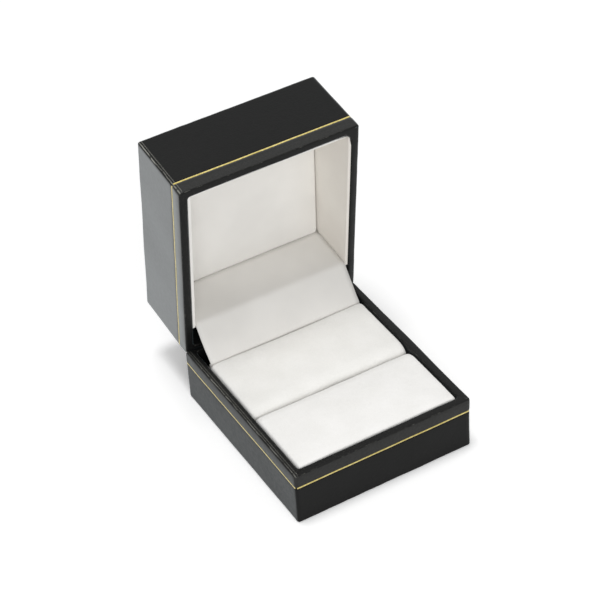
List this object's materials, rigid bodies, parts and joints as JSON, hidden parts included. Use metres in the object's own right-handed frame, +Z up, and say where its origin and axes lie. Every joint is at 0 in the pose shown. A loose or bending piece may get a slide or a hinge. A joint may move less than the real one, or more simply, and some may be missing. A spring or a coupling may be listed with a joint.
{
  "type": "ring display box",
  "caption": "Small hinged case with a black covered outside, a white lined lid that stands open, and two padded rolls that grip a finger ring upright in the slit between them.",
  "frame": {"origin": "centre of the underside, where the box rests on a table", "axes": "+Z up, front of the box towards -Y, +X to the right seen from the front, hinge at the back along X"},
  "size_m": [0.048, 0.0733, 0.0693],
  "materials": {
    "black_cover": "black embossed leatherette, satin",
    "gold_foil": "hot-stamped pale gold foil",
    "shell": "moulded black polystyrene",
    "bottom_paper": "matt black flocked paper",
    "card": "grey-brown greyboard",
    "foam": "open-cell cream foam",
    "white_velour": "short-pile white velour",
    "white_lining": "smooth white leatherette on card, satin",
    "hinge_steel": "nickel-plated pressed steel",
    "rivet_metal": "plain aluminium",
    "spring_steel": "hardened spring steel"
  },
  "bodies": {
    "base": {"base_shell": "shell", "base_cover": "black_cover", "base_gold_line": "gold_foil", "bottom_sheet": "bottom_paper", "pad_board": "card", "front_foam": "foam", "front_roll": "white_velour", "rear_foam": "foam", "rear_roll": "white_velour", "base_back_panel": "white_lining", "hinge_base_leaf": "hinge_steel", "base_rivets": "rivet_metal", "hinge_pin": "hinge_steel", "snap_spring": "spring_steel", "hinge_strip": "white_lining"},
    "lid": {"lid_shell": "shell", "lid_cover": "black_cover", "lid_gold_line": "gold_foil", "ceiling_board": "card", "ceiling_foam": "foam", "ceiling_lining": "white_lining", "lid_left_panel": "white_lining", "lid_right_panel": "white_lining", "lid_front_panel": "white_lining", "lid_back_panel": "white_lining", "hinge_lid_leaf": "hinge_steel", "lid_rivets": "rivet_metal"}
  },
  "joints": [
    {"name": "lid_hinge", "type": "hinge", "parent": "base", "child": "lid", "pos_m": [0, 0.02565, 0.0148], "axis": [1, 0, 0], "range_deg": [0, 83], "deforming": ["hinge_strip", "snap_spring"]}
  ]
}
